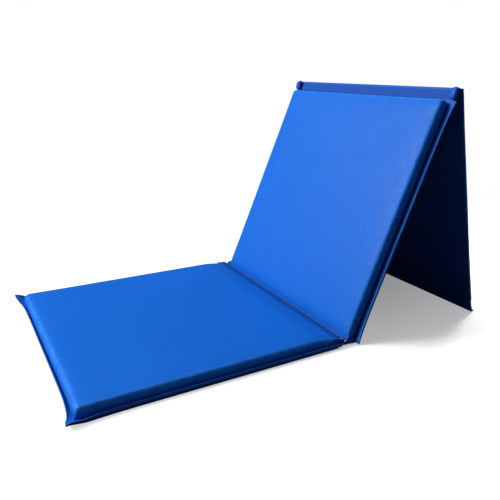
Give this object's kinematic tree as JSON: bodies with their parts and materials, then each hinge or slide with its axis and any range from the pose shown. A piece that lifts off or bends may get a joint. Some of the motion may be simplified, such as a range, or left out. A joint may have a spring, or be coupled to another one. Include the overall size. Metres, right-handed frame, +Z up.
{
  "type": "folding gym mat",
  "caption": "Tri-fold exercise mat of vinyl-covered foam panels on fabric hinges, one panel flat and the others set up as a backrest.",
  "frame": {"origin": "on the floor, in the middle of the whole object's box at rest", "axes": "+X along the mat's length from the flat panel towards the standing ones, +Y along the fold lines, +Z up"},
  "size_m": [1.0416, 0.602, 0.5609],
  "materials": {
    "vinyl": "royal blue coated vinyl, fine grain, low gloss",
    "hem": "royal blue vinyl, folded and sewn",
    "underside": "blue vinyl, matte, lightly scuffed",
    "tape": "navy woven tape",
    "foam": "white closed-cell foam"
  },
  "bodies": {
    "panel_a": {"a_foam_core": "foam", "a_top_cover": "vinyl", "a_bottom_sheet": "underside", "a_near_hem": "hem", "a_far_hem": "hem", "a_end_hem": "hem"},
    "hinge_ab": {"ab_hinge_strip": "vinyl", "ab_hinge_tape": "tape"},
    "panel_b": {"b_foam_core": "foam", "b_top_cover": "vinyl", "b_bottom_sheet": "underside", "b_near_hem": "hem", "b_far_hem": "hem", "bc_hinge_strip": "vinyl", "bc_hinge_tape": "tape"},
    "panel_c": {"c_foam_core": "foam", "c_top_cover": "vinyl", "c_bottom_sheet": "underside", "c_near_hem": "hem", "c_far_hem": "hem", "c_end_hem": "hem"}
  },
  "joints": [
    {"name": "hinge_lift", "type": "hinge", "parent": "panel_a", "child": "hinge_ab", "pos_m": [0.06421, 0, 0.0304], "axis": [0, -1, 0], "range_deg": [0, 38.72]},
    {"name": "fold_b", "type": "hinge", "parent": "hinge_ab", "child": "panel_b", "pos_m": [0.08761, 0, 0.01163], "axis": [0, -1, 0], "range_deg": [-106.22, 73.78]},
    {"name": "fold_c", "type": "hinge", "parent": "panel_b", "child": "panel_c", "pos_m": [0.34644, 0, 0.55602], "axis": [0, 1, 0], "range_deg": [-142.67, 37.33]}
  ]
}
